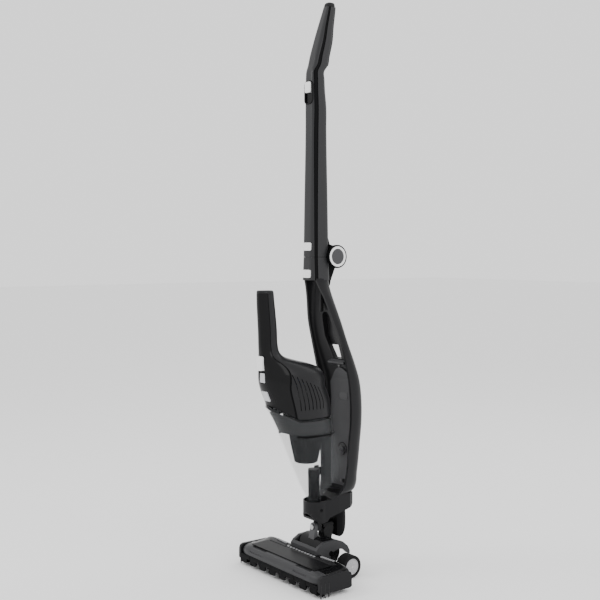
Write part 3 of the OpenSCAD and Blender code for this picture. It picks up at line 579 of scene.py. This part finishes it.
def build_frame():
    frame_rings, tray_rings = refine(FRAME, 4), refine(TRAY, 4)
    k = 96
    outside = []
    for s, t in zip(frame_rings, tray_rings):
        for j in range(k + 1):
            angle = -90 + 180 * j / k
            if abs(angle) > SEAM_ANGLE:
                outside.append(ring_point(s, angle, 0, FRAME_N))
            else:
                a = math.radians(angle)
                outside.append(at((t[2] + 2.2) * signed_power(math.sin(a), 2 / FRAME_N),
                                  t[0] + (t[3] + 2.4) * signed_power(math.cos(a), 2 / FRAME_N), t[1]))
    shell = wall_mesh("tray", outside, sheet(tray_rings, [(-90, 90)] * len(tray_rings), 0, FRAME_N, k),
                      len(frame_rings), k)
    tray = new_object("frame_tray", shell, FRAME_LOOK, "stick", bevel=0.9, bevel_angle=50)
    carve(tray, slot_cutter())
    stand_for(tray, "frame_front_shell")
    collar = [(0, z, hx, hy, 0, -12.5, 3.5) for z, hx, hy in
              ((560.6, 19.2, 22.6), (575, 18.6, 22.2), (590, 18, 21.8), (FOLD_Z - 0.2, 17.5, 21.5))]
    front, back, _ = split_tube("frame_collar", collar, "stick", "frame_front_shell", "frame_rear_shell",
                                "frame_seam_strips")
    carve(front, prism_mesh("c", rounded(23.8, 15.8, 3.2, 0, 573), -40, -8, "y"))
    carve(back, prism_mesh("c", rounded(20, 40, 1, 0, 604.5), 16, 50, "y"),
          prism_mesh("c", rounded(29.6, 40, 1, 0, 605.1), 13.3, 50, "y"))
    lip = [(0, 594, 15.0, 19.0, 0), (0, FOLD_Z + 0.25, 14.9, 18.9, 0)]
    new_object("fold_lip", band_mesh("lip", lip, lip, [(101, 259)] * 2, 1.2, TUBE_N, 48), BLACK_MATT,
                       "stick")
    skin = new_object("frame_back", band_mesh("back", frame_rings, shifted(frame_rings, -2.4),
                                              [(1 - SEAM_ANGLE, SEAM_ANGLE - 1)] * len(frame_rings),
                                              0, FRAME_N, 64),
                      FRAME_REAR, "stick", bevel=0.9, bevel_angle=50)
    carve(skin, prism_mesh("c", rounded(38, 26, 5, 0, 420), 20, 110, "y"),
          prism_mesh("c", arc_points(0, 262, 6.05, 0, 352.5, 47), 70, 110, "y"))
    stand_for(skin, "frame_rear_shell")
    build_slot_liner()
    build_tray_details()


def build_slot_liner():
    """The hand hold's inner wall, from the tray through to the frame's back."""
    inner, outer = [], []
    points = []
    n = len(SLOT_OUTLINE)
    for i in range(n):
        (x0, z0), (x1, z1) = SLOT_OUTLINE[i], SLOT_OUTLINE[(i + 1) % n]
        steps = max(1, int(math.hypot(x1 - x0, z1 - z0) / 4))
        points += [(x0 + (x1 - x0) * t / steps, z0 + (z1 - z0) * t / steps) for t in range(steps)]
    for x, z in points:
        cz = 450
        r = math.hypot(x, z - cz)
        ox, oz = x + 1.6 * x / r, z + 1.6 * (z - cz) / r
        inner.append((x, z))
        outer.append((ox, oz))
    m, verts, faces = len(points), [], []
    for ring in (inner, outer):
        for x, z in ring:
            verts.append(at(x, surface_y(TRAY, FRAME_N, x, z) + 0.4, z))
        for x, z in ring:
            verts.append(at(x, surface_y(FRAME, FRAME_N, x, z) - 2.6, z))
    for i in range(m):
        j = (i + 1) % m
        faces += [(i, j, m + j, m + i), (2 * m + i, 3 * m + i, 3 * m + j, 2 * m + j),
                  (i, 2 * m + i, 2 * m + j, j), (m + i, m + j, 3 * m + j, 3 * m + i)]
    new_object("hand_hold_liner", mesh_from("liner", verts, faces), FRAME_LOOK, "stick")


def build_tray_details():
    def panel_at(u, v):
        z = 156.5 + v * (388 - 30 * u * u - 156.5)
        x = u * 0.79 * ring_between(TRAY, z)[2]
        return x, surface_y(TRAY, FRAME_N, x, z) - 1.5, z
    panel = new_object("tray_panel_arched", grid_wall("panel", 96, 40, panel_at, 1.3), PANEL, "stick",
                       bevel=0.4)
    screw = rounded(9, 9, 2.5, 8, 166)
    carve(panel, prism_mesh("c", arc_points(0, 225, 9.2, 0, 352.5, 47), 40, 90, "y"),
          prism_mesh("c", screw, 40, 90, "y"))
    stand_for(panel, "tray_panel")

    def ledge_at(u, v):
        z = 393 + 11 * v
        x = u * (27 - 5 * v)
        return x, surface_y(TRAY, FRAME_N, x, z) - 0.6 - 7.5 * math.sin(math.pi * min(1, v * 1.15)) ** 0.7, z
    ledge = new_object("hand_hold_ledge", grid_wall("ledge", 10, 30, ledge_at, 3.0), PANEL, "stick",
                       bevel=0.5)
    plate_outer, plate_inner = rounded(27, 26, 2.5, 0, 337.5), rounded(25.8, 24.8, 2.0, 0, 337.5)
    y = surface_y(TRAY, FRAME_N, 13, 337) - 1.9
    rim = new_object("label_plate_rim", prism_mesh("rim", plate_outer, y, y + 0.9, "y"), EAR, "stick",
                     bevel=0.15)
    carve(rim, prism_mesh("c", plate_inner, y - 2, y + 0.5, "y"))
    boss_y = surface_y(TRAY, FRAME_N, 0, 225)
    boss = new_object("contact_boss",
                      lathe_mesh("boss",
                                 [(0, 0), (5.2, 0), (6.2, -0.9), (6.4, -4), (9, -4.2), (9, -8), (0, -8)],
                                 (0, boss_y - 5.6, 225), (0, -1, 0), 72),
                      PANEL, "stick", bevel=0.2)
    arc = ring_mesh("arc", [(12.2, 0), (13.4, 0), (13.4, 0.5), (12.2, 0.5)], (0, boss_y - 1.4, 227),
                    (0, -1, 0), 72)
    new_object("boss_arc", arc, BLACK_MATT, "stick")
    rib = rounded(6.6, 44, 3.2, 0, 521)
    capsule = new_object("channel_rib", prism_mesh("rib", rib, 9.5, 16.5, "y"), CAP, "stick", bevel=1.2)


build_frame()

# ---- hand unit ----

def vent_cutters(side):
    cuts = []
    for i in range(7):
        line = [(-86 + 9.8 * i, 388 - 4.4 * i), (-79 + 9.7 * i, 372 - 3.5 * i), (-73 + 9.4 * i, 352 - 2 * i),
                (-68.6 + 9.0 * i, 334), (-65.8 + 8.6 * i, 319.6)]
        outline = [(y - 0.9, z) for y, z in line] + [(y + 0.9, z) for y, z in reversed(line)]
        lo, hi = (20, 60) if side > 0 else (-60, -20)
        cuts.append(prism_mesh("c", outline, lo, hi, "x"))
    return cuts


def build_hand_unit():
    rings = refine([(*r, a) for r, a in zip(BODY, BODY_SPLIT)], 5)
    split = [r[5] for r in rings]
    rings = [r[:5] for r in rings]
    cover = new_object("hand_cover", band_mesh("cover", rings, rings, [(a + 3.4, 356.6 - a) for a in split],
                                               2.4, BODY_N, 72),
                       COVER, "hand_unit", bevel=0.5)
    release = prism_mesh("c", rounded(18.8, 20.8, 1.6, 0, 0), -10, 8, "y")
    turn = Matrix.Translation(at(0, -116.6, 347)) @ Matrix.Rotation(math.radians(23), 4, "X") \
        @ Matrix.Translation(-at(0, 0, 0))
    release.transform(turn)
    carve(cover, prism_mesh("c", rounded(17.8, 50.8, 3.2, 0, 397), -150, -112, "y"), release)
    stand_for(cover, "body_front_cover")
    rear = new_object("hand_housing", band_mesh("housing", rings, rings, [(-a, a) for a in split], 2.4,
                                                BODY_N, 96),
                      HOUSING, "hand_unit", bevel=0.5)
    carve(rear, *vent_cutters(1), *vent_cutters(-1))
    stand_for(rear, "body_rear_shell")
    trim = shifted(rings, -1.1)
    for side, sign in (("right", 1), ("left", -1)):
        spans = [(sign * (a - 1.3), sign * (a + 4.6)) for a in split]
        new_object("cover_groove_" + side, band_mesh("g", trim, trim, spans, 0.9, BODY_N, 6),
                           BLACK_MATT, "hand_unit")
    top = [(-119.2, 538.2, 12.5, 16.8, 0), (-119.3, 540.6, 12.3, 16.6, 0), (-119.6, 542.4, 11.6, 16.0, 0),
           (-120.0, 543.3, 10.4, 14.9, 0), (-120.2, 543.6, 9.2, 13.6, 0)]
    stand_for(new_object("hand_grip_top", tube_mesh("top", top, 0, BODY_N, 72, capped=True), HOUSING,
                         "hand_unit", bevel=0.2), "hand_grip_cap")
    lens = new_object("switch_lens", prism_mesh("lens", rounded(17, 18, 2.6, 0, 381.2), -125.3, -122.2, "y"),
                      LENS, "hand_unit", bevel=0.8)


def build_bin():
    rings = refine(BIN, 5)
    clear = new_object("bin_clear", tube_mesh("bin", rings, 2.4, BODY_N, 96), CLEAR, "bin", bevel=0.4)
    stand_for(clear, "dust_bin")
    line = [(s[0], s[1], s[2] + 0.25, s[3] + 0.25, s[4]) for s in
            (ring_between(rings, 266.6), ring_between(rings, 268.4), ring_between(rings, 270.2))]
    belt = new_object("bin_line", band_mesh("line", line, line, [(-138, 138)] * 3, 0.6, BODY_N, 96),
                      BLACK_MATT, "bin", bevel=0.2)
    collar = []
    for z in (271.5, 280, 289, 296.5):
        r = ring_between(rings, z)
        collar.append((r[0], r[1], r[2] - 2.9, r[3] - 2.9, r[4]))
    rim = new_object("filter_collar", tube_mesh("collar", collar, 1.4, BODY_N, 96), FILTER_RIM, "bin",
                     bevel=0.3)
    stand_for(rim, "filter_unit")
    verts, faces, k = [], [], 144
    levels = [(0.02, 214.0), (19.0, 214.0), (20.5, 215.2), (24.2, 232), (28.6, 252), (33.0, 271.5),
              (37.5, 272.2)]
    for r, z in levels:
        for j in range(k):
            a = 2 * math.pi * j / k
            pleat = 0.9 * (1 if j % 2 else -1) if 215.1 < z < 271 else 0.0
            stretch = 1.0 if z < 272 else 1.22
            verts.append(at((r + pleat) * math.cos(a), -24 + (r + pleat) * stretch * math.sin(a), z))
    for i in range(len(levels) - 1):
        for j in range(k):
            faces.append((i * k + j, i * k + (j + 1) % k, (i + 1) * k + (j + 1) % k, (i + 1) * k + j))
    pleated = new_object("filter_pleats", mesh_from("pleats", verts, faces), FILTER, "bin", smooth=False)
    thick = pleated.modifiers.new("thick", "SOLIDIFY")
    thick.thickness = 0.8 * MM
    stand_for(pleated, "filter_unit")


build_hand_unit()
build_bin()

# ---- floor head ----

def head_section(x, outline):
    """The head's side profile at x, drawn in towards its rounded ends."""
    e = max(0.0, (abs(x) - 96) / 28)
    pull = 1 - math.sqrt(max(0.0, 1 - min(e, 1.0) ** 2))
    return [(y + 9 * pull * max(0.0, (-y - 40) / 52), z - 5.5 * pull * max(0.0, (z - 22) / 20))
            for y, z in outline]


def sweep(name, outline, xs):
    n, verts, faces = len(outline), [], []
    for x in xs:
        verts += [at(x, y, z) for y, z in head_section(x, outline)]
    for i in range(len(xs) - 1):
        for j in range(n):
            k = (j + 1) % n
            faces.append((i * n + j, i * n + k, (i + 1) * n + k, (i + 1) * n + j))
    faces += [tuple(range(n - 1, -1, -1)), tuple(range((len(xs) - 1) * n, len(xs) * n))]
    return mesh_from(name, verts, faces)


def build_head():
    xs = [-123.6 + 247.2 * i / 96 for i in range(97)]
    slope = [(-92, 22.5), (-92.6, 27), (-92.4, 31), (-91, 34.6), (-88, 37.6), (-84, 39.4), (-78, 40.6),
             (-74, 40.9), (-74, 38.6), (-80, 38.2), (-86, 36), (-89, 32), (-89.4, 22.7)]
    front = new_object("head_front", sweep("head_front", slope, xs), HEAD_GREY, "head", bevel=0.5)
    pads = []
    for s in (-1, 1):
        face = [(s * 45, 44), (s * 51, 30.5), (s * 90, 30.5), (s * 97, 44)]
        pads.append(prism_mesh("c", face if s > 0 else face[::-1], -99, -91.2, "y"))
        pads.append(prism_mesh("c", [(s * 47, -91.5), (s * 50, -76.5), (s * 92, -76.5), (s * 95, -91.5)],
                               38.6, 50, "z"))
    carve(front, *pads)
    stand_for(front, "head_shell")
    roof = [(-73.6, 40.8), (-60, 41.3), (-41, 42.6), (-33, 44.2), (-27, 45.8), (-23, 45), (-20, 42),
            (-19, 34), (-19, 10.2), (-22, 10.2), (-22, 40), (-26.5, 42.8), (-41, 40.2), (-73.6, 38.8)]
    top = new_object("head_top", sweep("head_top", roof, xs), BLACK_GLOSS, "head", bevel=0.5)
    carve(top, prism_mesh("c", [(-42, -31), (42, -31), (42, 0), (-42, 0)], 0, 70, "z"),
          prism_mesh("c", [(-101, -80.6), (101, -80.6), (101, -41.6), (-101, -41.6)], 40.6, 50, "z"))
    stand_for(top, "head_shell")
    for side, s in (("right", 1), ("left", -1)):
        crest = [(s * 46, -41), (s * 98, -41), (s * 104, -33), (s * 104, -23), (s * 50, -23), (s * 44, -31)]
        piece = new_object("head_crest_" + side,
                           prism_mesh("crest", crest if s > 0 else crest[::-1], 41.5, 44.4, "z"),
                           CAP, "head", bevel=1.4)


# The brush's axis, and its rows' left end, length and pitch of one turn, in mm
BRUSH_Y, BRUSH_Z = -64, 20
BRUSH_START, BRUSH_LENGTH, BRUSH_PITCH = -110, 214, 132


def build_brush():
    """Four helical rows of tufts around the brush core, seen below the bumper."""
    verts, faces = [], []
    rows, cols = 132, 12
    for strand in range(4):
        base = len(verts)
        for i in range(rows + 1):
            x = BRUSH_START + BRUSH_LENGTH * i / rows
            a0 = math.radians(strand * 90 + 360 * (x - BRUSH_START) / BRUSH_PITCH)
            for j in range(cols):
                t = 2 * math.pi * j / cols
                across, up = 2.6 * math.cos(t), 0.5 + 0.5 * math.sin(t)
                r = 11.8 + (6.3 + 0.35 * math.sin(i * 2.4)) * up
                a = a0 + across * (1.0 + 0.25 * up) / r
                verts.append(at(x, BRUSH_Y + r * math.cos(a), BRUSH_Z + r * math.sin(a)))
        for i in range(rows):
            for j in range(cols):
                k = (j + 1) % cols
                faces.append((base + i * cols + j, base + i * cols + k, base + (i + 1) * cols + k,
                              base + (i + 1) * cols + j))
        faces.append(tuple(base + j for j in range(cols)))
        faces.append(tuple(base + rows * cols + j for j in range(cols - 1, -1, -1)))
    tufts = new_object("brush_rows", mesh_from("rows", verts, faces), TUFT, "brush", smooth=False)
    stand_for(tufts, "brush_bristles")


def build_wheels():
    for side, s in (("right", 1), ("left", -1)):
        centre = (s * 63, 29, 21)
        tread = [(15.5, -12.4), (20.0, -12.4), (20.9, -11.2)]
        for i in range(9):
            x = -10 + 2.5 * i
            tread += [(21.0, x - 0.8), (20.5, x - 0.55), (20.5, x + 0.35), (21.0, x + 0.6)]
        tread += [(20.9, 11.4), (20.0, 12.4), (15.5, 12.4)]
        stand_for(new_object("tyre_tread_" + side, ring_mesh("tyre", tread, centre, (s, 0, 0), 120), RUBBER,
                             "wheel_" + side, bevel=0.2), "tyre_" + side)
        face = [(2.56, -12), (15.4, -12), (15.4, 10.6), (14.6, 11.6), (13.6, 11.8), (12.8, 11.0), (6.4, 11.9),
                (4.6, 12.1), (2.56, 12.1)]
        stand_for(new_object("hub_face_" + side, ring_mesh("hub", face, centre, (s, 0, 0), 120), HUB,
                             "wheel_" + side, bevel=0.2), "hub_" + side)
        pin = [(0, 9), (2.3, 9), (2.3, 11.6), (1.6, 12.2), (0, 12.3)]
        new_object("hub_pin_" + side, lathe_mesh("pin", pin, centre, (s, 0, 0), 48), CAP,
                           "wheel_" + side)


build_head()
build_brush()
build_wheels()

# ---- camera, light and floor ----

FLOOR_SIZE, FLOOR_TOP = 30000, -0.4
LIGHTS = [  # name, place and size in mm, power in watts
    ("key", (-900, -1500, 1500), 700, 9), ("side", (1900, 300, 1300), 900, 6),
    ("back", (300, 1700, 1700), 1100, 7), ("top", (0, -200, 2300), 900, 7),
]
LIGHTS_AIM_Z = 450


def build_stage():
    floor = bpy.data.objects.new(
        "floor", prism_mesh("floor", rounded(FLOOR_SIZE, FLOOR_SIZE, 20), -20, FLOOR_TOP, "z"))
    bpy.context.scene.collection.objects.link(floor)
    floor.data.materials.append(material("floor", (0.93, 0.93, 0.93), 0.8, tint=0.005))
    world = bpy.data.worlds.new("studio")
    world.use_nodes = True
    world.node_tree.nodes["Background"].inputs["Color"].default_value = (1, 1, 1, 1)
    world.node_tree.nodes["Background"].inputs["Strength"].default_value = 1.4
    bpy.context.scene.world = world
    for name, place, size, power in LIGHTS:
        light = bpy.data.lights.new(name, "AREA")
        light.shape = "SQUARE"
        light.size = size * MM
        light.energy = power
        obj = bpy.data.objects.new(name, light)
        bpy.context.scene.collection.objects.link(obj)
        obj.location = at(*place)
        obj.rotation_euler = (at(0, 0, LIGHTS_AIM_Z) - obj.location).to_track_quat("-Z", "Y").to_euler()


def build_camera():
    """The camera stands level with the middle of the stick, to its front right."""
    azimuth, distance, height = math.radians(52.4), 1900.0, 617.0
    turn_aside = math.atan(16 / 987)
    cam = bpy.data.cameras.new("camera")
    cam.lens = 59.1
    cam.sensor_width = 36.0
    cam.shift_y = -0.082
    cam.clip_end = 50.0
    obj = bpy.data.objects.new("camera", cam)
    bpy.context.scene.collection.objects.link(obj)
    obj.location = at(distance * math.sin(azimuth), -distance * math.cos(azimuth), height)
    obj.rotation_euler = (math.pi / 2, 0, azimuth + turn_aside)
    bpy.context.scene.camera = obj


build_stage()
build_camera()
